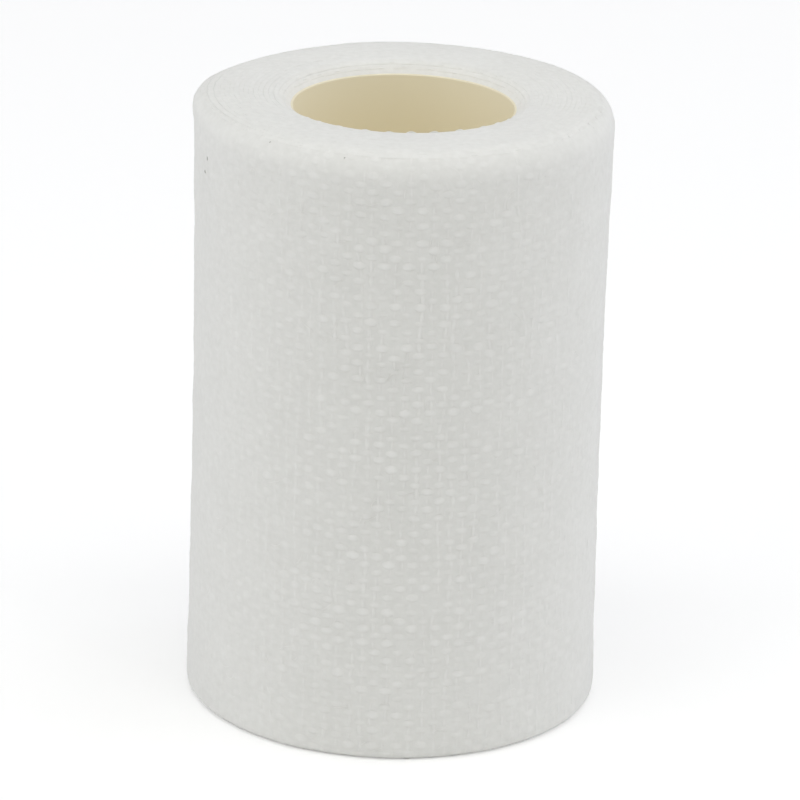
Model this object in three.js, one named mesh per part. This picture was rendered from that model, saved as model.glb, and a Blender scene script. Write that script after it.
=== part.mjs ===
// A cohesive bandage roll: a strip of white elastic gauze wound on a plain open tube,
// standing on one end. Millimetres, +Z up, with the origin in the middle of the end it stands on.
// Angles run from the front (-Y) by way of the right (+X), the way the strip is wound.

import * as THREE from 'three';

// The strip of gauze as it is wound
const stripWidth = 80;
const clothThickness = 0.6;
const endRadius = 26.8;
const waistDepth = 0.4;
const tailAngle = THREE.MathUtils.degToRad(200);

// The rounded edges of the two ends: the top's lip falls ever more steeply into the hole
const topShoulder = 3.2;
const footShoulder = 1.2;
const lipStart = 16.45;
const lipReach = 2.15;
const lipDeep = 1.15;
const footLip = 0.5;

// The top face is slightly domed between the hole and the shoulder
const domeHeight = 0.4;
const domeMiddle = 20.5;
const domeHalfWidth = 5.5;

// On the left the top's shoulder is sharper and stands out
const corner = {
  angle: THREE.MathUtils.degToRad(-94),
  spread: THREE.MathUtils.degToRad(26),
  push: 0.75,
  flare: 0.45,
};

// How uneven the hand of the winding machine left it: waves round the roll
const outOfRound = [
  { waves: 2, depth: 0.1, start: 0.7 },
  { waves: 3, depth: 0.06, start: 2.1 },
  { waves: 5, depth: 0.04, start: 4.0 },
];
const unevenTop = [
  { waves: 1, depth: 0.12, start: 1.2 },
  { waves: 2, depth: 0.1, start: 3.4 },
  { waves: 4, depth: 0.05, start: 0.4 },
];

// The tube inside
const boreRadius = 14;
const tubeWall = 0.9;
const tubeRecess = 1.5;
const tubeChamfer = 0.2;
const pieceGap = 0.3;

// Fineness of the faceted surfaces
const roundSteps = 112;
const tubeSteps = 72;
const wallSteps = 9;
const faceSteps = 4;
const lipSteps = 3;
const tailCrowding = 0.75;

const clothInside = boreRadius + tubeWall + pieceGap;

const gauze = new THREE.MeshStandardMaterial({
  name: 'gauze', color: new THREE.Color(0.93, 0.93, 0.915), roughness: 0.95, metalness: 0,
});
const ivoryPlastic = new THREE.MeshStandardMaterial({
  name: 'ivory plastic', color: new THREE.Color(0.9, 0.87, 0.74), roughness: 0.5, metalness: 0,
});

// A quarter round between two directions, as profile points (radius, height)
function quarterRound(centreRadius, centreHeight, size, fromDegrees, steps) {
  const points = [];
  for (let step = 0; step <= steps; step += 1) {
    const turn = THREE.MathUtils.degToRad(fromDegrees + (90 * step) / steps);
    points.push(new THREE.Vector2(
      centreRadius + size * Math.cos(turn),
      centreHeight + size * Math.sin(turn),
    ));
  }
  return points;
}

// The roll is slimmest half way up, where the strip's edges don't hold it out
function radiusAtHeight(height) {
  const fromMiddle = (2 * height) / stripWidth - 1;
  return endRadius - waistDepth * (1 - fromMiddle * fromMiddle);
}

// Section of the wound cloth, up the outside, over the top, down the inside and out along the foot
function clothSection() {
  const top = stripWidth;
  const footRadius = radiusAtHeight(footShoulder);
  const shoulderRadius = radiusAtHeight(top - topShoulder);
  const points = quarterRound(footRadius - footShoulder, footShoulder, footShoulder, 270, 3);
  for (let step = 1; step < wallSteps; step += 1) {
    const height = THREE.MathUtils.lerp(footShoulder, top - topShoulder, step / wallSteps);
    points.push(new THREE.Vector2(radiusAtHeight(height), height));
  }
  points.push(...quarterRound(shoulderRadius - topShoulder, top - topShoulder, topShoulder, 0, 6));
  for (let step = 1; step <= faceSteps; step += 1) {
    const radius = THREE.MathUtils.lerp(shoulderRadius - topShoulder, lipStart, step / faceSteps);
    points.push(new THREE.Vector2(radius, top));
  }
  for (let step = 1; step <= lipSteps; step += 1) {
    const radius = THREE.MathUtils.lerp(lipStart, clothInside, step / lipSteps);
    points.push(new THREE.Vector2(radius, top - lipDeep * ((lipStart - radius) / lipReach) ** 2));
  }
  points.push(...quarterRound(clothInside + footLip, footLip, footLip, 180, 2));
  return points;
}

// Section of the tube, with its chamfered rims
function tubeSection() {
  const foot = tubeRecess;
  const top = stripWidth - tubeRecess;
  const outside = boreRadius + tubeWall;
  return [
    new THREE.Vector2(outside, foot + tubeChamfer),
    new THREE.Vector2(outside, top - tubeChamfer),
    new THREE.Vector2(outside - tubeChamfer, top),
    new THREE.Vector2(boreRadius + tubeChamfer, top),
    new THREE.Vector2(boreRadius, top - tubeChamfer),
    new THREE.Vector2(boreRadius, foot + tubeChamfer),
    new THREE.Vector2(boreRadius + tubeChamfer, foot),
    new THREE.Vector2(outside - tubeChamfer, foot),
  ];
}

// Turns a closed section about Z, starting from the front
function turned(section, steps) {
  const geometry = new THREE.LatheGeometry([...section, section[0].clone()], steps);
  geometry.rotateX(Math.PI / 2);
  return geometry;
}

function waveSum(waves, angle) {
  return waves.reduce((sum, wave) => sum + wave.depth * Math.sin(wave.waves * angle + wave.start), 0);
}

// How far the outer turn stands out from the mean: it climbs by one thickness of cloth a turn,
// and drops back at the cut end of the strip
function spiralRise(angle) {
  const sinceTail = THREE.MathUtils.euclideanModulo(angle - tailAngle, 2 * Math.PI);
  return clothThickness * (sinceTail / (2 * Math.PI) - 0.5);
}

function topRise(radius, wayOut, angle) {
  const dome = domeHeight * (0.4 - ((radius - domeMiddle) / domeHalfWidth) ** 2);
  return dome + wayOut * waveSum(unevenTop, angle);
}

// How far the top's shoulder is pushed up and out at a place, and how far it flares out besides
function cornerShift(radius, height, angle) {
  const fromCorner = THREE.MathUtils.euclideanModulo(angle - corner.angle + Math.PI, 2 * Math.PI) - Math.PI;
  const near = Math.exp(-((fromCorner / corner.spread) ** 2));
  const outward = THREE.MathUtils.clamp((radius - endRadius) / topShoulder + 1, 0, 1);
  const upward = THREE.MathUtils.clamp((height - stripWidth) / topShoulder + 1, 0, 1);
  return {
    push: near * corner.push * 2 * outward * upward,
    flare: near * corner.flare * outward * upward ** 2,
  };
}

// Gives the turned cloth its wound shape, round inside and a spiral outside, on a flat foot
function windCloth(geometry) {
  const position = geometry.attributes.position;
  for (let i = 0; i < position.count; i += 1) {
    const radius = Math.hypot(position.getX(i), position.getY(i));
    const height = position.getZ(i);
    const evenAngle = Math.atan2(position.getX(i), -position.getY(i));
    const angle = evenAngle - tailCrowding * Math.sin(evenAngle - tailAngle);
    const wayOut = (radius - clothInside) / (endRadius - clothInside);
    const wayUp = height / stripWidth;
    const evenRadius = radius + wayOut * (spiralRise(angle) + waveSum(outOfRound, angle));
    const woundHeight = height + wayUp ** 4 * topRise(radius, wayOut, angle);
    const { push, flare } = cornerShift(evenRadius, woundHeight, angle);
    const woundRadius = evenRadius + push + flare;
    position.setXYZ(
      i,
      woundRadius * Math.sin(angle),
      -woundRadius * Math.cos(angle),
      woundHeight + 0.7 * push,
    );
  }
  geometry.computeVertexNormals();
}

function bandageRoll() {
  const geometry = turned(clothSection(), roundSteps);
  windCloth(geometry);
  const mesh = new THREE.Mesh(geometry, gauze);
  mesh.name = 'bandage_roll';
  return mesh;
}

function coreTube() {
  const mesh = new THREE.Mesh(turned(tubeSection(), tubeSteps), ivoryPlastic);
  mesh.name = 'core_tube';
  return mesh;
}

const roll = new THREE.Group();
roll.add(bandageRoll(), coreTube());

export default roll;
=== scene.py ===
import math

import bmesh
import bpy
import numpy as np
from mathutils import Matrix, Vector


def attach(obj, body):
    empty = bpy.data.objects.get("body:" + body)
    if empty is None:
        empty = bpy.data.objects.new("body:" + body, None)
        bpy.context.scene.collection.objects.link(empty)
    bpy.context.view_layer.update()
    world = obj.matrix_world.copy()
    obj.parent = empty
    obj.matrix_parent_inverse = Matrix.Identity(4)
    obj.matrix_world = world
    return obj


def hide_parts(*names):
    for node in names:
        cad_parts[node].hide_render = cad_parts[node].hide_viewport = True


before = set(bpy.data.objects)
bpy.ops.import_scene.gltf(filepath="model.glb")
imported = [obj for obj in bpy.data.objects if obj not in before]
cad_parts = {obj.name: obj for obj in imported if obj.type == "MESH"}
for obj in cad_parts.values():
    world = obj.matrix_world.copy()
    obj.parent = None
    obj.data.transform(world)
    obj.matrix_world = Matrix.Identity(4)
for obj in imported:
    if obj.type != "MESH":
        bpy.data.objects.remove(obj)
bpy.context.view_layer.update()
metre = 1000.0
turn = 2 * math.pi
mergeWithin = 0.0005
lookAhead = 0.25               # share of a step that is looked ahead and back for a yarn's direction
chance = np.random.default_rng(8)
print("frame loaded:", sorted(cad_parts))

# The wound shape that all the cloth follows
roll = {
    "height": 80.0,
    "endRadius": 26.8,
    "waistDepth": 0.4,
    "cloth": 0.6,
    "inside": 14.95,
    "tailAngle": math.radians(200),     # where the strip's cut outer end lies
    "topShoulder": 3.2,
    "footShoulder": 1.2,
    "footCurl": 0.85,          # how much of the outer turn's width curls in under the foot
    "footClear": 0.01,         # what lies on the foot stays this far above the floor
    "lipInside": 14.3,         # where the cloth's lip ends, on the tube's rim
    "lipWide": 2.15,
    "lipDeep": 1.15,
    "dome": 0.4,               # the top face is slightly domed between the hole and the shoulder
    "formDome": 0.9,           # its soft edges lean out more than it, and are shaded so
    "domeMiddle": 20.5,
    "domeHalf": 5.5,
    "domeLevel": 0.4,          # the share of the dome that lies above the roll's height
    "outOfRound": [(2, 0.1, 0.7), (3, 0.06, 2.1), (5, 0.04, 4.0)],      # waves, depth and start
    "unevenTop": [(1, 0.12, 1.2), (2, 0.1, 3.4), (4, 0.05, 0.4)],
    "unevenFade": 4,           # the power by which the top's unevenness fades out down the wall
    "cornerAngle": math.radians(-94),   # on the left the top's shoulder is sharper and stands out
    "cornerSpread": math.radians(26),
    "cornerPush": 0.75,
    "cornerRaise": 0.7,        # how much of the push goes upwards as well
    "cornerFlare": 0.45,
    "flankPress": 0.68,        # how much flatter the weave lies on the flanks and over the shoulder
    "flankPower": 1.25,
    "leastPress": 0.15,
    "shoulderPress": 0.3,
    "flankForm": 1.5,          # how much more the flanks are shaded like the form of the whole roll
    # painted light: how much lighter the cloth's colour is made over the top's shoulder and the hole's lip
    "paintedLight": 0.8,
    "flankPaintedLight": 0.6,         # how much less of it there is on the flanks
    "paintedLightFrom": 74.4,
    "puckers": 16,
    "puckerDepth": 0.03,
    "shortestPucker": 3.5,
    "longestPucker": 13.0,
}

viewer = {
    "distance": 700.0,
    "elevation": math.radians(19.856),
    "roll": math.radians(1.54),
    "imageSide": 800,
    "focalPixels": 5435.0,
    "middlePixel": (395.98, 392.24),   # where the middle of the roll lies in the photograph
    "sensorWidth": 36.0,
    "nearest": 10.0,
}


def makeCamera():
    elevation = viewer["elevation"]
    back = Vector((0, -math.cos(elevation), math.sin(elevation)))
    right = Vector((1, 0, 0))
    up = back.cross(right)
    cosRoll = math.cos(viewer["roll"])
    sinRoll = math.sin(viewer["roll"])
    cameraRight = right * cosRoll + up * sinRoll
    cameraUp = up * cosRoll - right * sinRoll
    half = viewer["imageSide"] / 2
    perPixel = viewer["distance"] / viewer["focalPixels"]
    aimRight = (half - viewer["middlePixel"][0]) * perPixel
    aimUp = (viewer["middlePixel"][1] - half) * perPixel
    middle = Vector((0, 0, roll["height"] / 2))
    eye = middle + back * viewer["distance"]
    aim = middle + cameraRight * aimRight + cameraUp * aimUp
    away = (eye - aim).normalized()
    cameraRight = cameraUp.cross(away).normalized()
    cameraUp = away.cross(cameraRight)
    lens = bpy.data.cameras.new("viewer")
    lens.sensor_width = viewer["sensorWidth"]
    lens.lens = viewer["focalPixels"] / viewer["imageSide"] * viewer["sensorWidth"]
    lens.clip_start = viewer["nearest"] / metre
    camera = bpy.data.objects.new("viewer", lens)
    bpy.context.scene.collection.objects.link(camera)
    turned = Matrix((cameraRight, cameraUp, away)).transposed().to_4x4()
    camera.matrix_world = Matrix.Translation(eye / metre) @ turned
    bpy.context.scene.camera = camera


makeCamera()
print("camera made")


def between(low, high, share):
    return low + (high - low) * share


def waveSum(waves, angle):
    return sum(depth * np.sin(count * angle + start) for count, depth, start in waves)


def polar(points):
    return np.hypot(points[:, 0], points[:, 1]), np.arctan2(points[:, 0], -points[:, 1])


def fromPolar(radius, angle, height):
    return np.stack([radius * np.sin(angle), -radius * np.cos(angle), height], 1)


# How much slimmer the wall is at a height than at the ends
def waistAt(height):
    fromMiddle = 2 * height / roll["height"] - 1
    return roll["waistDepth"] * (1 - fromMiddle ** 2)


# How far round the roll a place lies behind the strip's outer end
def behindTail(angle):
    return np.mod(roll["tailAngle"] - angle, turn)


# The outer turn comes in by one thickness of cloth on its way round
def spiralRise(behind):
    return roll["cloth"] * (0.5 - behind / turn)


# 0 at the hole and 1 at the outer turn
def wayOut(radius):
    return np.clip((radius - roll["inside"]) / (roll["endRadius"] - roll["inside"]), 0, 1)


# The radius that a place on an end would have if the roll were round
def evenRadius(radius, angle):
    return radius - wayOut(radius) * spiralRise(behindTail(angle))


puckerLengths = chance.uniform(roll["shortestPucker"], roll["longestPucker"], roll["puckers"])
puckerWays = chance.uniform(0, turn, roll["puckers"])
puckerStarts = chance.uniform(0, turn, roll["puckers"])


def puckerRise(x, y):
    rise = 0
    for length, way, start in zip(puckerLengths, puckerWays, puckerStarts):
        rise = rise + np.sin((x * math.cos(way) + y * math.sin(way)) * turn / length + start)
    return rise * roll["puckerDepth"] / math.sqrt(roll["puckers"] / 2)


def flankShare(angle):
    return np.abs(np.sin(angle)) ** roll["flankPower"]


# 1 where the weave stands at its full depth, and less where it is pressed flatter
def pressAt(angle, overShoulder=0.0):
    over = np.clip(overShoulder / roll["topShoulder"], 0, 1)
    press = 1 - roll["flankPress"] * flankShare(angle) - roll["shoulderPress"] * over
    return np.clip(press, roll["leastPress"], 1)


# How far the top face lies above its mean height
def topRise(radius, angle):
    dome = roll["dome"] * (roll["domeLevel"] - ((radius - roll["domeMiddle"]) / roll["domeHalf"]) ** 2)
    return dome + wayOut(radius) * waveSum(roll["unevenTop"], angle)


def withTopRise(radius, angle, height):
    return height + (height / roll["height"]) ** roll["unevenFade"] * topRise(radius, angle)


# Places near the sharper corner are pushed out and up
def atAngle(radius, angle, height):
    shoulder = roll["topShoulder"]
    fromCorner = np.mod(angle - roll["cornerAngle"] + math.pi, turn) - math.pi
    near = np.exp(-(fromCorner / roll["cornerSpread"]) ** 2)
    outward = np.clip((radius - roll["endRadius"]) / shoulder + 1, 0, 1)
    upward = np.clip((height - roll["height"]) / shoulder + 1, 0, 1)
    push = near * roll["cornerPush"] * 2 * outward * upward
    flare = near * roll["cornerFlare"] * outward * upward ** 2
    return fromPolar(radius + push + flare, angle, height + push * roll["cornerRaise"])


def cornerPushed(points):
    return atAngle(*polar(points), points[:, 2])


# Flat cloth goes round the roll: x runs back from the cut end, y up across the strip, and z out of it,
# from 0 on the cloth's outer face
def windOuter(flat):
    x, y, z = flat.T
    behind = x / roll["endRadius"]
    angle = roll["tailAngle"] - behind
    z = z * pressAt(angle, y - roll["height"] + roll["topShoulder"])
    surface = roll["endRadius"] + spiralRise(behind)
    surface = surface + waveSum(roll["outOfRound"], angle) + puckerRise(x, y)
    wallTop = roll["footCurl"] + roll["height"] - roll["topShoulder"] - roll["footShoulder"]
    topBend = np.clip(y - wallTop, 0, None) / roll["topShoulder"]
    footBend = np.clip(roll["footCurl"] - y, 0, None) / roll["footShoulder"]
    wallHeight = roll["footShoulder"] + np.clip(y, roll["footCurl"], wallTop) - roll["footCurl"]
    height = wallHeight + roll["topShoulder"] * np.sin(topBend) - roll["footShoulder"] * np.sin(footBend)
    radius = surface - waistAt(height)
    radius = radius - roll["topShoulder"] * (1 - np.cos(topBend))
    radius = radius - roll["footShoulder"] * (1 - np.cos(footBend))
    radius = radius + z * np.cos(topBend) * np.cos(footBend)
    height = height + z * (np.sin(topBend) - np.sin(footBend))
    return atAngle(radius, angle, withTopRise(radius, angle, height))


# An end of the roll falls away at its outer shoulder, and the top also at the lip of the hole.
# The shares stay just short of the place where the shoulder stands upright.
def shoulderShare(radius, shoulder):
    return np.clip((radius - roll["endRadius"]) / shoulder + 1, 0, 0.999)


def lipShare(radius):
    return np.clip((roll["lipInside"] - radius) / roll["lipWide"] + 1, 0, 1)


def endFall(radius, shoulder, isTop):
    outer = shoulder * (1 - np.sqrt(1 - shoulderShare(radius, shoulder) ** 2))
    return outer + isTop * roll["lipDeep"] * lipShare(radius) ** 2


# How steeply the top face rises outwards, at the lip and over the dome
def faceSlope(radius, dome):
    lip = 2 * roll["lipDeep"] / roll["lipWide"] * lipShare(radius)
    return lip - 2 * dome * (radius - roll["domeMiddle"]) / roll["domeHalf"] ** 2


def endSlope(radius, shoulder, isTop):
    return np.arcsin(shoulderShare(radius, shoulder)) - np.arctan(isTop * faceSlope(radius, roll["dome"]))


# A place on an end of the roll, before the corner is pushed out
def onEnd(radius, angle, rise, shoulder, isTop):
    rise = rise - endFall(evenRadius(radius, angle), shoulder, isTop)
    if isTop:
        height = roll["height"] + rise + topRise(radius, angle)
    else:
        height = -np.clip(rise, None, -roll["footClear"])
    return fromPolar(radius + wayOut(radius) * waveSum(roll["outOfRound"], angle), angle, height)


# Which way the roll's form faces, without the yarns
def formAt(points):
    radius, angle = polar(points)
    height = points[:, 2]
    overTop = np.clip(height - roll["height"] + roll["topShoulder"], 0, None)
    underFoot = np.clip(roll["footShoulder"] - height, 0, None)
    shoulder = np.where(overTop > 0, roll["topShoulder"], roll["footShoulder"])
    outward = np.clip(radius - roll["endRadius"] + shoulder, 0, None)
    outward = outward - faceSlope(radius, roll["formDome"]) * overTop
    onWall = (overTop == 0) & (underFoot == 0)
    outward = np.where(onWall, np.sign(radius - roll["domeMiddle"]), outward)
    sideways = outward / radius
    form = np.stack([points[:, 0] * sideways, points[:, 1] * sideways, overTop - underFoot], 1)
    weight = 1 + roll["flankForm"] * onWall * flankShare(angle)
    return form * (weight / np.linalg.norm(form, axis=1))[:, None]


# Painted light: the cloth's colour is made lighter over the top's shoulder, where the light falls brightest,
# and down the lip of the hole, against the shade there
def paintedLightAt(points):
    radius, angle = polar(points)
    upward = np.clip((points[:, 2] - roll["paintedLightFrom"]) / (roll["height"] - roll["paintedLightFrom"]), 0, 1)
    outward = np.clip((radius - roll["endRadius"]) / roll["topShoulder"] + 1, 0, 1)
    flank = flankShare(angle) * roll["flankPaintedLight"]
    return roll["paintedLight"] * upward * (np.sqrt(outward) * (1 - flank) + lipShare(radius))


# Yarn making: each yarn starts as a flat grid, whose x runs along the yarn, y round it,
# and z numbers it, and is then rolled into a tube along its path
def yarnGrids(count, steps, sides):
    bm = bmesh.new()
    bm.loops.layers.uv.new("UVMap")
    for number in range(count):
        bmesh.ops.create_grid(
            bm, x_segments=steps, y_segments=sides, size=0.5,
            matrix=Matrix.Translation((0, 0, number)), calc_uvs=True,
        )
    return bm


def readPoints(bm, name):
    mesh = bpy.data.meshes.new(name)
    bm.to_mesh(mesh)
    bm.free()
    points = np.empty(len(mesh.vertices) * 3, np.float32)
    mesh.vertices.foreach_get("co", points)
    return mesh, points.reshape(-1, 3).astype(float)


# The skirt makes a yarn's lower half wider and deeper, so that it blends into what is under it
def sweep(path, along, sectionAngle, halfWidth, halfThick, reach, skirt=(0, 0)):
    centre = path(along)
    ahead = path(along + reach) - path(along - reach)
    ahead = ahead / np.linalg.norm(ahead, axis=1, keepdims=True)
    side = np.cross((0, 0, 1), ahead)
    side = side / np.linalg.norm(side, axis=1, keepdims=True)
    out = np.cross(ahead, side)
    low = np.clip(-np.sin(sectionAngle), 0, None)
    across = (np.cos(sectionAngle) * halfWidth * (1 + low * skirt[0]))[:, None]
    proud = (np.sin(sectionAngle) * halfThick * (1 + low * skirt[1]))[:, None]
    return centre + side * across + out * proud


def sectionTurn(around, stops):
    places = np.linspace(-0.5, 0.5, len(stops))
    return np.radians(np.interp(around, places, stops))


# A long yarn tapers over its first and last two steps
def taper(along, steps):
    return np.sqrt(np.clip((0.5 - np.abs(along)) * steps / 2, 0, 1))


# Reads a row of a table of random values, smoothly from one value to the next
def softTable(table, row, place):
    low = np.clip(np.floor(place).astype(int), 0, table.shape[1] - 2)
    share = np.clip(place - low, 0, 1)
    share = share * share * (3 - 2 * share)
    row = np.clip(row, 0, table.shape[0] - 1)
    return table[row, low] * (1 - share) + table[row, low + 1] * share


# The crown tells the gauze's colour: 0 low between the yarns, 1 on top of them, and more where painted
# light is added over the top's shoulder and lip. Its lows are painted shade between the yarns.
def finishPiece(mesh, points, name, material, crown=0.0):
    points[:, 2] = np.clip(points[:, 2], 0, None)
    mesh.vertices.foreach_set("co", (points / metre).astype(np.float32).ravel())
    mesh.attributes.new(name="crown", type="FLOAT", domain="POINT")
    mesh.attributes["crown"].data.foreach_set("value", (crown + paintedLightAt(points)).astype(np.float32))
    mesh.attributes.new(name="form", type="FLOAT_VECTOR", domain="POINT")
    mesh.attributes["form"].data.foreach_set("vector", formAt(points).astype(np.float32).ravel())
    bm = bmesh.new()
    bm.from_mesh(mesh)
    bmesh.ops.remove_doubles(bm, verts=bm.verts, dist=mergeWithin / metre)
    bmesh.ops.recalc_face_normals(bm, faces=bm.faces)
    for face in bm.faces:
        face.smooth = True
    bm.to_mesh(mesh)
    bm.free()
    mesh.materials.append(material)
    piece = bpy.data.objects.new(name, mesh)
    bpy.context.scene.collection.objects.link(piece)
    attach(piece, "root")
    triangles = sum(len(p.vertices) - 2 for p in mesh.polygons)
    print(f"{name}: {triangles} triangles")
    return piece


# Materials
class Signal:
    def __init__(self, paint, socket):
        self.paint = paint
        self.socket = socket

    def math(self, operation, first, second):
        return self.paint.node("ShaderNodeMath", {"operation": operation}, {0: first, 1: second})

    def __add__(self, other):
        return self.math("ADD", self, other)

    def __radd__(self, other):
        return self.math("ADD", other, self)

    def __mul__(self, other):
        return self.math("MULTIPLY", self, other)

    def __rmul__(self, other):
        return self.math("MULTIPLY", other, self)


class Paint:
    def __init__(self, name):
        self.material = bpy.data.materials.new(name)
        self.material.use_nodes = True
        self.tree = self.material.node_tree
        self.shader = self.tree.nodes["Principled BSDF"]

    def node(self, kind, settings, sockets, output=0):
        made = self.tree.nodes.new(kind)
        for key, value in settings.items():
            if key == "stops":
                ramp = made.color_ramp
                while len(ramp.elements) < len(value):
                    ramp.elements.new(0.5)
                for element, (place, colour) in zip(ramp.elements, value):
                    element.position = place
                    element.color = (*colour, 1)
            else:
                setattr(made, key, value)
        for key, value in sockets.items():
            self.feed(made.inputs[key], value)
        return Signal(self, made.outputs[output])

    def feed(self, socket, value):
        if isinstance(value, Signal):
            self.tree.links.new(value.socket, socket)
        else:
            socket.default_value = value

    def set(self, **inputs):
        for key, value in inputs.items():
            self.feed(self.shader.inputs[key.replace("_", " ")], value)


def noiseOn(paint, place, scale, roughness=0.5):
    return paint.node(
        "ShaderNodeTexNoise", {}, {"Vector": place, "Scale": scale, "Detail": 2.0, "Roughness": roughness},
    )


def scaled(paint, vector, scale):
    return paint.node("ShaderNodeVectorMath", {"operation": "SCALE"}, {"Vector": vector, "Scale": scale})


gauzeFinish = {
    "darkest": (0.72, 0.72, 0.686),
    "lightest": (0.925, 0.925, 0.9),
    "crownShare": 0.32,        # how far the crown, and noises of three sizes, move it between the two
    "patchShare": 0.2,
    "grainShare": 0.48,
    "fibreShare": 0.1,
    "patch": 7.0,
    "grain": 0.9,
    "softness": 0.45,          # how far the fuzz shades the yarns like the form of the whole roll
    "roughness": 0.95,
    "sheen": 0.1,
    "sheenRoughness": 0.6,
    "fibreLength": 1.1,
    "fibreWidth": 0.07,
    "fibreDepth": 0.02,
    "fibreStrength": 0.6,
    "fibreRoughness": 0.6,
    "fibreShift": 3.0,         # how far the fibres' pattern shifts for each millimetre up the roll
}


# On a yarn the fibres run along UV x, scaled by its length and girth; elsewhere they lie any way
def fibreVector(paint, place, length, girth):
    if not length:
        return scaled(paint, place, metre / (2 * gauzeFinish["fibreWidth"]))
    onYarn = paint.node("ShaderNodeTexCoord", {}, {}, "UV")
    height = paint.node("ShaderNodeSeparateXYZ", {}, {"Vector": place}, "Z")
    along = paint.node("ShaderNodeSeparateXYZ", {}, {"Vector": onYarn}, "X")
    around = paint.node("ShaderNodeSeparateXYZ", {}, {"Vector": onYarn}, "Y")
    return paint.node(
        "ShaderNodeCombineXYZ", {},
        {
            "X": along * (length / gauzeFinish["fibreLength"]),
            "Y": around * (girth / gauzeFinish["fibreWidth"]),
            "Z": height * (gauzeFinish["fibreShift"] * metre),
        },
    )


def gauzeMaterial(name, length=0, girth=0):
    finish = gauzeFinish
    paint = Paint(name)
    place = paint.node("ShaderNodeTexCoord", {}, {}, "Object")
    fibres = noiseOn(paint, fibreVector(paint, place, length, girth), 1.0, finish["fibreRoughness"])
    bump = paint.node(
        "ShaderNodeBump", {},
        {"Height": fibres, "Strength": finish["fibreStrength"], "Distance": finish["fibreDepth"] / metre},
    )
    patches = noiseOn(paint, place, metre / finish["patch"])
    grain = noiseOn(paint, place, metre / finish["grain"])
    form = paint.node("ShaderNodeAttribute", {"attribute_name": "form"}, {}, "Vector")
    form = paint.node(
        "ShaderNodeVectorTransform",
        {"vector_type": "NORMAL", "convert_from": "OBJECT", "convert_to": "WORLD"}, {"Vector": form},
    )
    softness = finish["softness"]
    own = scaled(paint, bump, 1 - softness)
    soft = paint.node(
        "ShaderNodeVectorMath", {"operation": "MULTIPLY_ADD"}, {0: form, 1: (softness,) * 3, 2: own},
    )
    facing = paint.node("ShaderNodeVectorMath", {"operation": "NORMALIZE"}, {0: soft})
    # The crown brings painted shade, darkest low between the yarns, and painted light over the top's
    # shoulder and lip
    crown = paint.node("ShaderNodeAttribute", {"attribute_name": "crown"}, {}, "Fac")
    mottle = patches * finish["patchShare"] + grain * finish["grainShare"] + fibres * finish["fibreShare"]
    colour = paint.node(
        "ShaderNodeValToRGB", {"stops": [(0.0, finish["darkest"]), (1.0, finish["lightest"])]},
        {"Fac": crown * finish["crownShare"] + mottle},
    )
    paint.set(
        Base_Color=colour, Normal=facing, Roughness=finish["roughness"], Sheen_Weight=finish["sheen"],
        Sheen_Roughness=finish["sheenRoughness"],
    )
    return paint.material


tubeFinish = {
    "colour": (0.79, 0.75, 0.61),
    "paintedGlow": (0.08, 0.062, 0.028),     # painted light: the tube glows all over, standing in for light that comes through its thin wall
    "roughness": 0.5,
    "grainsPerMetre": 900.0,
    "grainStrength": 0.1,
    "grainDepth": 0.05,
}


def tubeMaterial():
    finish = tubeFinish
    paint = Paint("ivory plastic")
    place = paint.node("ShaderNodeTexCoord", {}, {}, "Object")
    grain = noiseOn(paint, place, finish["grainsPerMetre"])
    bump = paint.node(
        "ShaderNodeBump", {},
        {"Height": grain, "Strength": finish["grainStrength"], "Distance": finish["grainDepth"] / metre},
    )
    # The emission is painted light: the tube glows evenly though it is no lamp
    paint.set(
        Base_Color=(*finish["colour"], 1), Roughness=finish["roughness"], Normal=bump,
        Emission_Color=(*finish["paintedGlow"], 1), Emission_Strength=1.0,
    )
    return paint.material


ivory = tubeMaterial()

# The outer turn's weave
weave = {
    "warpRows": 75,
    "weftPitch": 1.55,
    "firstWeft": 0.9,          # from the cut end to the first weft yarn
    "tuckedUnder": 4.0,        # how far the outer turn goes on under its own cut end
    "fray": (0.2, 1.6),        # the least and the most that a warp yarn sticks out of the cut end
    "warpLift": 0.1,
    "warpMiddle": -0.203,
    "warpHalfWidth": 0.46,
    "warpHalfThick": 0.105,
    "warpWidths": (0.78, 1.12),     # shares of these, under a weft yarn and over it
    "warpThicks": (0.85, 1.05),
    "warpSizes": (0.86, 1.12),      # the least and the most, by yarn and then by crossing
    "puffs": (0.7, 1.2),
    "warpTip": 0.5,
    "weftLift": 0.05,
    "weftRides": (-0.02, 0.09),     # it rides lower and higher by turns, over a few rows
    "weftHalfWidth": 0.19,
    "weftHalfThick": 0.055,
    "weftSizes": (0.8, 1.3),
    "clothMiddle": -0.17,
    "crownPress": 1.4,
    "crownEnds": 0.5,
    "crownFrom": -0.12,
    "crownTo": 0.0,
    "crownOfSize": 0.45,       # how much a warp yarn's size counts in its crown
    "warpWander": 0.12,
    "weftWander": 0.24,
    "warpWanderPicks": 3,
    "weftWanderRows": 4,
    "stepsPerFloat": 3,
    "selvageReach": 0.25,
    "selvageSink": 0.08,
    "selvageSteps": 4,
    "warpSection": [-90, -15, 30, 70, 110, 150, 195, 270],
    "weftSkirt": (2.9, 8.0),
    "weftSection": [-90, -38, 58, 122, 218, 270],
}
weave["warpPitch"] = roll["height"] / weave["warpRows"]
weave["length"] = roll["endRadius"] * turn + weave["tuckedUnder"]
rows = weave["warpRows"]
wefts = int((weave["length"] - weave["firstWeft"]) / weave["weftPitch"])
puff = chance.uniform(*weave["puffs"], (rows, wefts + 2))
warpDrift = chance.normal(0, weave["warpWander"], (rows, wefts // weave["warpWanderPicks"] + 3))
weftDrift = chance.normal(0, weave["weftWander"], (wefts, rows // weave["weftWanderRows"] + 3))
weftRide = chance.uniform(*weave["weftRides"], weftDrift.shape)
warpSize = chance.uniform(*weave["warpSizes"], rows)
weftSize = chance.uniform(*weave["weftSizes"], wefts)
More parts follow.
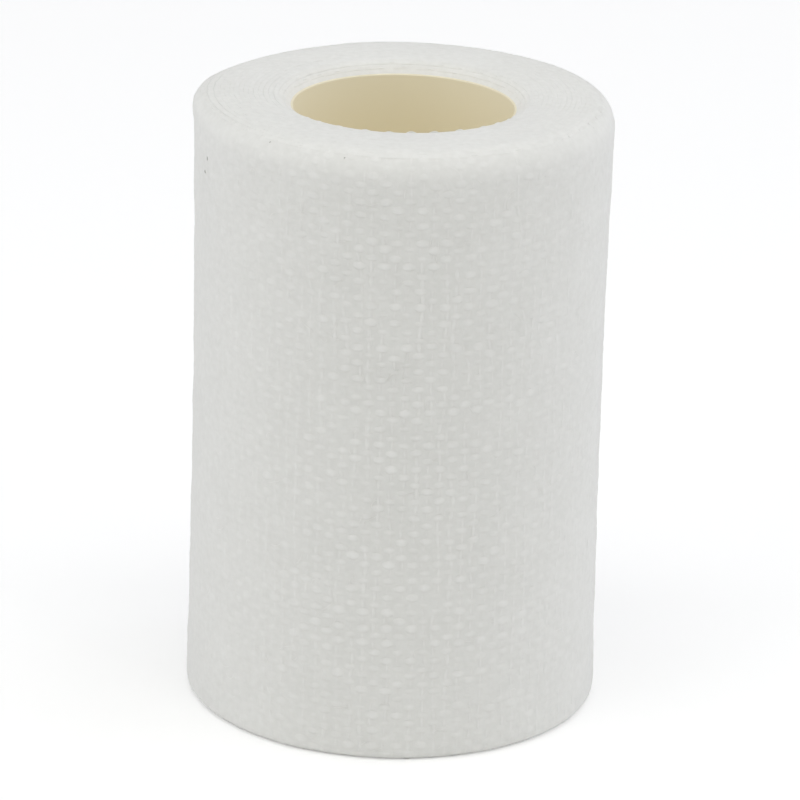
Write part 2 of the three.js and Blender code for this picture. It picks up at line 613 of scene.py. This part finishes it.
fray = chance.uniform(*weave["fray"], rows)
warpGauze = gauzeMaterial("gauze warp yarn", weave["length"], 4 * weave["warpHalfWidth"])
weftGauze = gauzeMaterial("gauze weft yarn", roll["height"] * wefts, 4 * weave["weftHalfWidth"])


# Where the weave is pressed flatter, and towards the ends of the roll, its colours differ less too: the
# painted shade between the yarns is weaker there
def crownShow(angle, height):
    fromMiddle = 2 * height / roll["height"] - 1
    show = 1 - weave["crownPress"] * (1 - pressAt(angle))
    return show * (1 - weave["crownEnds"] * fromMiddle ** 2)


def crownOf(flat):
    crown = np.clip((flat[:, 2] - weave["crownFrom"]) / (weave["crownTo"] - weave["crownFrom"]), 0, 1)
    return 0.5 + (crown - 0.5) * crownShow(roll["tailAngle"] - flat[:, 0] / roll["endRadius"], flat[:, 1])


# Where a place along a warp yarn lies, in millimetres and counted in weft yarns
def warpPlace(along, row):
    x = between(-fray[row], weave["length"], along + 0.5)
    return x, (x - weave["firstWeft"]) / weave["weftPitch"]


def makeWarp(name, firstRow, lastRow):
    steps = round(weave["length"] / weave["weftPitch"] * weave["stepsPerFloat"])
    sides = len(weave["warpSection"]) - 1
    mesh, grid = readPoints(yarnGrids(lastRow - firstRow, steps, sides), name)
    row = np.rint(grid[:, 2]).astype(int) + firstRow

    def path(along):
        x, pick = warpPlace(along, row)
        y = (row + 0.5) * weave["warpPitch"] + softTable(warpDrift, row, pick / weave["warpWanderPicks"] + 1)
        lift = softTable(puff, row, pick) * weave["warpLift"] * np.cos(math.pi * (pick + row))
        return np.stack([x, y, weave["warpMiddle"] + lift], 1)

    along = grid[:, 0]
    pick = warpPlace(along, row)[1]
    over = 0.5 + 0.5 * np.cos(math.pi * (pick + row))
    plump = softTable(puff, row, pick) * warpSize[row]
    fromEnd = (0.5 - np.abs(along)) * weave["length"]
    tip = np.sqrt(np.clip(fromEnd / weave["warpTip"], 0, 1))
    halfWidth = weave["warpHalfWidth"] * between(*weave["warpWidths"], over) * plump * tip
    halfThick = weave["warpHalfThick"] * between(*weave["warpThicks"], over) * plump * tip
    angle = sectionTurn(grid[:, 1], weave["warpSection"])
    flat = sweep(path, along, angle, halfWidth, halfThick, lookAhead / steps)
    crown = crownOf(flat) * (1 + weave["crownOfSize"] * (plump - 1))
    finishPiece(mesh, windOuter(flat), name, warpGauze, crown)


makeWarp("outer_warp_lower", 0, rows // 2)
makeWarp("outer_warp_upper", rows // 2, rows)

# The weft is one yarn that goes up and down across the strip, turning at each edge
weftStepsPerPick = 2 * rows + 2 * weave["selvageSteps"]


def weftPath(along):
    place = (along + 0.5) * wefts
    pick = np.clip(np.floor(place).astype(int), 0, wefts - 1)
    share = place - pick
    upward = pick % 2 == 0
    edge = weave["selvageSteps"] / weftStepsPerPick
    crossing = np.clip((share - edge) / (1 - 2 * edge), 0, 1)
    rowPlace = np.where(upward, crossing, 1 - crossing) * rows - 0.5
    tablePlace = rowPlace / weave["weftWanderRows"] + 1
    y = (rowPlace + 0.5) * weave["warpPitch"]
    x = weave["firstWeft"] + pick * weave["weftPitch"] + softTable(weftDrift, pick, tablePlace)
    ride = softTable(weftRide, pick, tablePlace)
    lift = ride - weave["weftLift"] * np.cos(math.pi * (pick + rowPlace))
    # round the selvage: the last part of one pick and the first of the next make a half circle
    leaving = np.clip((share - (1 - edge)) / edge, 0, 1)
    arriving = np.clip((edge - share) / edge, 0, 1)
    bend = np.where(leaving > 0, leaving, -arriving) * math.pi / 2
    half = weave["weftPitch"] / 2
    outward = np.where(leaving > 0, np.where(upward, 1, -1), np.where(upward, -1, 1))
    inLoop = (leaving > 0) | (arriving > 0)
    fromMiddle = np.where(leaving > 0, -1, 1) * np.cos(bend)
    loopX = np.where(leaving > 0, half, -half) + half * fromMiddle
    x = np.where(inLoop, x + loopX, x)
    y = np.where(inLoop, y + outward * weave["selvageReach"] * np.sin(np.abs(bend)), y)
    lift = lift - weave["selvageSink"] * np.sin(np.abs(bend))
    return np.stack([x, y, weave["clothMiddle"] + lift], 1)


def makeWeft(name):
    steps = weftStepsPerPick * wefts
    sides = len(weave["weftSection"]) - 1
    mesh, grid = readPoints(yarnGrids(1, steps, sides), name)
    along = grid[:, 0]
    pick = np.clip(((along + 0.5) * wefts).astype(int), 0, wefts - 1)
    tip = taper(along, steps)
    halfWidth = weave["weftHalfWidth"] * weftSize[pick] * tip
    halfThick = weave["weftHalfThick"] * tip
    angle = sectionTurn(grid[:, 1], weave["weftSection"])
    flat = sweep(weftPath, along, angle, halfWidth, halfThick, lookAhead / steps, weave["weftSkirt"])
    finishPiece(mesh, windOuter(flat), name, weftGauze, crownOf(flat))


makeWeft("outer_weft")

# The turns under it, whose edges show as a spiral on both ends
endTurns = {
    "count": 17.5,
    "topRadii": (14.95, 25.3),
    "footRadii": (15.31, 26.1),
    "firstStep": 0.08,         # share of the first turn over which it climbs over the strip's inner end
    "halfWidth": 0.36,
    "waver": 0.08,
    "bulge": 0.016,
    "depth": 0.6,
    "loopPitch": 3.1,
    "loopHeight": 0.012,
    "loopSizes": (0.4, 1.6),
    "stepsPerLoop": 6,
    "wander": 0.012,
    "ride": 0.007,
    "sink": 0.05,              # the outermost turns lie lower, and blend into the outer turn's edge
    "sunkTurns": 3,
    "section": [-90, -20, 25, 60, 90, 120, 155, 200, 270],
    "crown": 0.8,
    "fibreRun": 2270.0,        # the length and girth that their fibres are laid over
    "fibreGirth": 1.2,
}
edgeGauze = gauzeMaterial("gauze at the edges of the turns", endTurns["fibreRun"], endTurns["fibreGirth"])


# The spiral that the edges of the turns lie on, by length from its outer end. Near the tube each turn
# is round and climbs in one place, over the strip's inner end; further out the climb is even.
def edgeSpiral(isTop):
    inner, outer = endTurns["topRadii" if isTop else "footRadii"]
    count = endTurns["count"]
    drop = (outer - inner) / (count * turn)
    total = count * turn * (outer + inner) / 2

    def place(length):
        behind = (outer - np.sqrt(outer ** 2 - 2 * drop * length)) / drop
        turns = np.clip(count - behind / turn, 0, None)
        whole = np.floor(turns)
        climb = np.clip(endTurns["firstStep"] * (1 + turns), None, 1)
        climbed = whole + np.clip((turns - whole - 1 + climb) / climb, 0, 1)
        return inner + climbed * drop * turn, roll["tailAngle"] - behind

    return place, total


def makeEndTurns(name, shoulder, isTop):
    values = endTurns
    spiral, total = edgeSpiral(isTop)
    loops = int(total / values["loopPitch"])
    steps = loops * values["stepsPerLoop"]
    sides = len(values["section"]) - 1
    mesh, grid = readPoints(yarnGrids(1, steps, sides), name)
    size = chance.uniform(*values["loopSizes"], (1, loops + 2))
    drift = chance.normal(0, values["wander"], (1, loops + 2))
    ride = chance.normal(0, values["ride"], (1, loops // 2 + 2))

    def path(along):
        length = (along + 0.5) * total
        radius, angle = spiral(length)
        loop = length / values["loopPitch"]
        rise = values["loopHeight"] * softTable(size, 0, loop) * np.cos(turn * loop)
        rise = rise + softTable(ride, 0, loop / 2)
        turns = length / (values["sunkTurns"] * turn * roll["endRadius"])
        rise = rise - values["sink"] * np.clip(1 - turns, 0, 1)
        return onEnd(radius + softTable(drift, 0, loop), angle, rise, shoulder, isTop)

    along = grid[:, 0]
    centre = path(along)
    radius, around = polar(centre)
    slope = endSlope(evenRadius(radius, around), shoulder, isTop)
    outward = centre * (1, 1, 0) / radius[:, None]
    upward = np.array((0, 0, 1 if isTop else -1))
    side = outward * np.cos(slope)[:, None] - upward * np.sin(slope)[:, None]
    proud = outward * np.sin(slope)[:, None] + upward * np.cos(slope)[:, None]
    angle = sectionTurn(grid[:, 1], values["section"])
    waver = 1 + values["waver"] * np.cos(turn * (along + 0.5) * loops)
    width = values["halfWidth"] * waver * taper(along, steps)
    lift = np.sin(angle)
    fall = (np.clip(lift, 0, 1) - 1) * values["bulge"] + np.clip(lift, -1, 0) * values["depth"]
    points = centre + side * (np.cos(angle) * width)[:, None] + proud * fall[:, None]
    finishPiece(mesh, cornerPushed(points), name, edgeGauze, values["crown"])


makeEndTurns("top_turn_edges", roll["topShoulder"], True)
makeEndTurns("foot_turn_edges", roll["footShoulder"], False)

# Each turn's weft yarn turns back in small loops along its edge. They lie pressed into the ends,
# and those of the first turns stand up round the front of the hole.
edgeLoops = {
    "dip": -0.22,
    "lowest": -0.09,
    "highest": -0.02,
    "raggedTurns": 2.4,
    "raggedLowest": -0.02,
    "raggedHighest": 0.17,
    "raggedBehind": 0.2,       # how much of that there is at the back of the hole
    "fewHigh": 1.2,
    "lean": 0.1,
    "shift": 0.15,             # share of their pitch by which loops may lie off their places
    "archPower": 0.7,
    "halfThick": 0.075,
    "skirt": (1.2, 2.0),
    "stepsPerLoop": 10,
    "section": [-90, -30, 50, 130, 210, 270],
    "crown": 0.9,
}


def makeEdgeLoops(name, shoulder, isTop):
    values = edgeLoops
    spiral, total = edgeSpiral(isTop)
    loops = int(total / endTurns["loopPitch"])
    steps = loops * values["stepsPerLoop"]
    sides = len(values["section"]) - 1
    mesh, grid = readPoints(yarnGrids(1, steps, sides), name)
    middle = (np.arange(loops) + 0.5) * total / loops
    ragged = middle > total - values["raggedTurns"] * turn * roll["inside"]
    inFront = between(values["raggedBehind"], 1, np.clip(np.cos(spiral(middle)[1]), 0, 1))
    low = np.where(ragged, values["raggedLowest"], values["lowest"])
    high = np.where(ragged, values["raggedHighest"] * inFront, values["highest"])
    crest = between(low, high, chance.uniform(0, 1, loops) ** values["fewHigh"])
    lean = chance.normal(0, values["lean"], loops)
    shift = chance.uniform(-values["shift"], values["shift"], loops)

    def path(along):
        place = np.clip((along + 0.5) * loops, 0, loops - 1e-6)
        loop = place.astype(int)
        radius, angle = spiral(place / loops * total)
        arch = np.clip(np.cos(turn * (place - loop - 0.5 - shift[loop])), 0, None)
        rise = between(values["dip"], crest[loop], arch ** values["archPower"])
        return onEnd(radius + lean[loop] * arch, angle, rise, shoulder, isTop)

    angle = sectionTurn(grid[:, 1], values["section"])
    half = np.full(len(grid), values["halfThick"])
    points = sweep(path, grid[:, 0], angle, half, half, lookAhead / steps, values["skirt"])
    finishPiece(mesh, cornerPushed(points), name, weftGauze, values["crown"])


makeEdgeLoops("top_edge_loops", roll["topShoulder"], True)
makeEdgeLoops("foot_edge_loops", roll["footShoulder"], False)

# Loose fibres that lie on the cloth
looseFibres = {
    "count": 400,
    "fromEnds": 2.0,           # how far in from the strip's ends and edges they start
    "fromEdges": 1.0,
    "stayIn": 0.3,             # how far in from its edges they stay
    "lengths": (0.8, 2.6),
    "bend": 0.9,
    "halfThick": 0.03,
    "rise": -0.065,
    "steps": 6,
    "reach": 0.02,
    "section": [-90, -30, 90, 210, 270],
    "skirt": (1.5, 2.0),
    "crown": 1.4,
}

# A few specks of lint. Those that are seen are given as angle in degrees, height across the strip and size,
# and the others lie on the back, near the cut end.
lint = {
    "seen": [(-67.4, 73.8, 1.0), (-69.2, 71.8, 1.0), (-40.0, 79.4, 0.5), (-16.0, 79.3, 0.5)],
    "others": 3,
    "otherSizes": (0.6, 1.3),
    "fromEnd": 3.0,
    "fromEdges": 2.0,
    "length": 0.6,
    "bend": 4.0,
    "halfThick": 0.1,
    "rise": 0.0,
    "colour": (0.56, 0.56, 0.53),
    "roughness": 0.95,
}


def layFibres(name, starts, lengths, bends, halfThick, rise, material, crown=0.0):
    sides = len(looseFibres["section"]) - 1
    mesh, grid = readPoints(yarnGrids(len(starts), looseFibres["steps"], sides), name)
    ways = chance.uniform(0, turn, len(starts))
    number = np.rint(grid[:, 2]).astype(int)
    edge = looseFibres["stayIn"]

    def path(along):
        arc = along * lengths[number]
        turned = ways[number] + bends[number] * along
        x = starts[number, 0] + arc * np.cos(turned)
        y = np.clip(starts[number, 1] + arc * np.sin(turned), edge, roll["height"] - edge)
        return np.stack([x, y, np.full(len(x), rise)], 1)

    tip = np.sqrt(np.clip(1 - (2 * np.abs(grid[:, 0])) ** 4, 0, 1))
    half = halfThick[number] * tip
    angle = sectionTurn(grid[:, 1], looseFibres["section"])
    flat = sweep(path, grid[:, 0], angle, half, half, looseFibres["reach"], looseFibres["skirt"])
    finishPiece(mesh, windOuter(flat), name, material, crown)


def makeLooseFibres(name):
    values = looseFibres
    count = values["count"]
    nearest = (values["fromEnds"], values["fromEdges"])
    farthest = (weave["length"] - values["fromEnds"], roll["height"] - values["fromEdges"])
    starts = chance.uniform(nearest, farthest, (count, 2))
    lengths = chance.uniform(*values["lengths"], count)
    bends = chance.normal(0, values["bend"], count)
    thick = np.full(count, values["halfThick"])
    layFibres(name, starts, lengths, bends, thick, values["rise"], weftGauze, values["crown"])


def makeLint(name):
    angles, heights, sizes = np.array(lint["seen"]).T
    seen = np.stack([(roll["tailAngle"] - np.radians(angles)) * roll["endRadius"], heights], 1)
    nearest = (lint["fromEnd"], lint["fromEdges"])
    farthest = (roll["endRadius"], roll["height"] - lint["fromEdges"])
    others = chance.uniform(nearest, farthest, (lint["others"], 2))
    starts = np.concatenate([seen, others])
    sizes = np.concatenate([sizes, chance.uniform(*lint["otherSizes"], lint["others"])])
    bends = chance.normal(0, lint["bend"], len(starts))
    paint = Paint("lint")
    paint.set(Base_Color=(*lint["colour"], 1), Roughness=lint["roughness"])
    lengths = lint["length"] * sizes
    thick = lint["halfThick"] * sizes
    layFibres(name, starts, lengths, bends, thick, lint["rise"], paint.material)


makeLooseFibres("loose_fibres")
makeLint("lint_specks")

# The tube that the cloth is wound on, and the wound body just under the outer turn
tube = {
    "bore": 14.0,
    "wall": 0.9,
    "foot": 1.5,
    "top": 78.5,
    "rim": 0.2,
    "rimSteps": 3,
    "roundSteps": 160,
}
bed = {
    "below": 0.11,
    "endBelow": 0.05,
    "endCrown": 0.8,
    "edgeTilt": 1.2,           # how far over the shoulder the outer turn reaches, and fades out
    "edgeFade": 0.25,
    "lipShares": [*np.linspace(0, 0.9, 10), 0.975, 1.0],
    "tuck": 0.1,               # the lip ends this far under the tube's rim, and starts as far over it
    "tuckIn": 0.08,
    "footLip": 0.3,
    "footSteps": 5,
    "wallSteps": 40,
    "shoulderSteps": 8,
    "faceSteps": 8,
    "roundSteps": 240,
}
bedGauze = gauzeMaterial("gauze under the outer turn")


def spinSection(name, section, steps):
    bm = bmesh.new()
    verts = [bm.verts.new((radius, 0, height)) for radius, height in section]
    edges = [bm.edges.new((verts[i], verts[(i + 1) % len(verts)])) for i in range(len(verts))]
    bmesh.ops.spin(
        bm, geom=verts + edges, cent=(0, 0, 0), axis=(0, 0, 1), dvec=(0, 0, 0),
        angle=turn, steps=steps, use_merge=True,
    )
    return readPoints(bm, name)


# A quarter round as (radius, height) pairs, which may be an oval one
def quarter(centreRadius, centreHeight, outSize, upSize, start, steps):
    turns = [math.radians(start + 90 * step / steps) for step in range(steps + 1)]
    return [(centreRadius + outSize * math.cos(t), centreHeight + upSize * math.sin(t)) for t in turns]


# Up the outside from the foot, over the top, down the lip to the tube's rim, and down behind the tube
def bedSection():
    below = bed["below"]
    ends = bed["endBelow"]
    inside = roll["inside"]
    footRound = roll["footShoulder"]
    topRound = roll["topShoulder"]
    highest = roll["height"] - topRound
    section = quarter(
        roll["endRadius"] - footRound, footRound, footRound - below, footRound - ends, 270, bed["footSteps"],
    )
    section.pop()
    for step in range(bed["wallSteps"] + 1):
        height = footRound + (highest - footRound) * step / bed["wallSteps"]
        section.append((roll["endRadius"] - below - waistAt(height), height))
    section += quarter(
        roll["endRadius"] - topRound, highest, topRound - below, topRound - ends, 0, bed["shoulderSteps"],
    )[1:]
    top = roll["height"] - ends
    lipStart = roll["lipInside"] + roll["lipWide"]
    for radius in np.linspace(roll["endRadius"] - topRound, lipStart, bed["faceSteps"] + 1)[1:-1]:
        section.append((radius, top))
    for share in bed["lipShares"]:
        section.append((lipStart - roll["lipWide"] * share, top - (roll["lipDeep"] - ends) * share ** 2))
    section.append((roll["lipInside"] - bed["tuckIn"], tube["top"] + bed["tuck"]))
    section.append((roll["lipInside"], tube["top"] - bed["tuck"]))
    section.append((inside, tube["top"] - bed["tuck"]))
    section.append((inside, ends + bed["footLip"]))
    section.append((inside + bed["footLip"], ends))
    return section


# Where the cloth is pressed flatter, the body comes up to it, as far as the outer turn's edge.
# This is how far it comes up, and the tilt by which it does so.
def bedRaise(radius, angle, height):
    topRound = roll["topShoulder"]
    highest = roll["height"] - topRound
    outward = np.clip(radius - roll["endRadius"] + topRound, 0, None)
    tilt = np.arctan2(np.clip(height - highest, 0, None), outward)
    depth = bed["below"] * np.cos(tilt) ** 2 + bed["endBelow"] * np.sin(tilt) ** 2
    depth = depth * np.clip((bed["edgeTilt"] - tilt) / bed["edgeFade"], 0, 1) * (outward > 0)
    return depth * (1 - pressAt(angle, tilt * topRound)), tilt


def makeBed(name):
    mesh, points = spinSection(name, bedSection(), bed["roundSteps"])
    radius, angle = polar(points)
    height = points[:, 2]
    behind = behindTail(angle)
    isEnd = radius < roll["endRadius"] - roll["topShoulder"] / 2
    # The body shows low between the yarns, so on the wall it takes the darkest colour as painted shade, less
    # so where the weave is pressed flatter
    crown = np.where(isEnd, bed["endCrown"], 0.5 - 0.5 * crownShow(angle, height))
    rise = spiralRise(behind) + waveSum(roll["outOfRound"], angle)
    rise = rise + puckerRise(behind * roll["endRadius"], height - roll["footShoulder"] + roll["footCurl"])
    rise = rise * wayOut(radius)
    raised, tilt = bedRaise(radius, angle, height)
    radius = radius + raised * np.cos(tilt)
    height = withTopRise(radius, angle, height + raised * np.sin(tilt))
    piece = finishPiece(mesh, atAngle(radius + rise, angle, height), name, bedGauze, crown)
    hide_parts("bandage_roll")


makeBed("wound_body")


# The tube's wall has four rounded corners
def makeTube(name):
    rim = tube["rim"]
    outer = tube["bore"] + tube["wall"] - rim
    inner = tube["bore"] + rim
    top = tube["top"] - rim
    foot = tube["foot"] + rim
    corners = [(outer, top), (inner, top), (inner, foot), (outer, foot)]
    section = []
    for number, (radius, height) in enumerate(corners):
        section += quarter(radius, height, rim, rim, 90 * number, tube["rimSteps"])
    mesh, points = spinSection(name, section, tube["roundSteps"])
    piece = finishPiece(mesh, points, name, ivory)
    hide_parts("core_tube")


makeTube("ivory_tube")

# Floor and light: large soft lamps stand round the roll, each given as its name, its direction in degrees
# (round from the front towards the right, and up), its strength and its colour
studio = {
    "worldStrength": 0.085,
    "floorHalf": 4000.0,
    "floorColour": (0.9, 0.9, 0.9),
    "floorRoughness": 0.9,
    "floorGlow": 0.07,
    "floorWhitening": 0.17,    # glow that only the camera sees
    "lampDistance": 1500.0,
    "lampSize": 1300.0,
    "lampWatts": 22.0,
    "lamps": [
        ("above", 0, 90, 0.39, (1.0, 1.0, 1.0)),
        ("above front", 0, 60, 0.223, (1.0, 1.0, 0.93)),
        ("right front", 60, 25, 0.213, (1.0, 1.0, 0.99)),
        ("left front", -60, 25, 0.272, (1.0, 1.0, 0.99)),
        ("right", 95, 20, 0.16, (0.98, 1.0, 1.1)),
        ("left", -95, 20, 0.135, (0.98, 1.0, 1.1)),
        ("right back", 130, 25, 0.165, (0.98, 1.0, 1.1)),
        ("left back", -130, 25, 0.07, (0.98, 1.0, 1.1)),
        ("low back", 180, 20, 0.06, (1.0, 1.0, 1.0)),
    ],
}


def makeFloor():
    bm = bmesh.new()
    bmesh.ops.create_grid(bm, x_segments=1, y_segments=1, size=studio["floorHalf"] / metre)
    mesh = bpy.data.meshes.new("floor")
    bm.to_mesh(mesh)
    bm.free()
    paint = Paint("pale floor")
    seen = paint.node("ShaderNodeLightPath", {}, {}, "Is Camera Ray")
    paint.set(
        Base_Color=(*studio["floorColour"], 1), Roughness=studio["floorRoughness"], Emission_Strength=1.0,
        Emission_Color=seen * studio["floorWhitening"] + studio["floorGlow"],
    )
    mesh.materials.append(paint.material)
    floor = bpy.data.objects.new("floor", mesh)
    bpy.context.scene.collection.objects.link(floor)


def makeLamp(name, heading, elevation, strength, colour):
    side = math.radians(heading)
    up = math.radians(elevation)
    way = Vector((math.sin(side) * math.cos(up), -math.cos(side) * math.cos(up), math.sin(up)))
    light = bpy.data.lights.new(name, "AREA")
    light.size = studio["lampSize"] / metre
    light.energy = studio["lampWatts"] * strength
    light.color = colour
    lamp = bpy.data.objects.new(name, light)
    bpy.context.scene.collection.objects.link(lamp)
    lamp.location = Vector((0, 0, roll["height"] / 2 / metre)) + way * studio["lampDistance"] / metre
    lamp.rotation_euler = way.to_track_quat("Z", "Y").to_euler()


def makeStudio():
    makeFloor()
    world = bpy.data.worlds.new("studio")
    bpy.context.scene.world = world
    world.use_nodes = True
    background = world.node_tree.nodes["Background"]
    background.inputs["Color"].default_value = (1, 1, 1, 1)
    background.inputs["Strength"].default_value = studio["worldStrength"]
    for lamp in studio["lamps"]:
        makeLamp(*lamp)
    bpy.context.scene.view_settings.view_transform = "Standard"


makeStudio()
print("studio made")
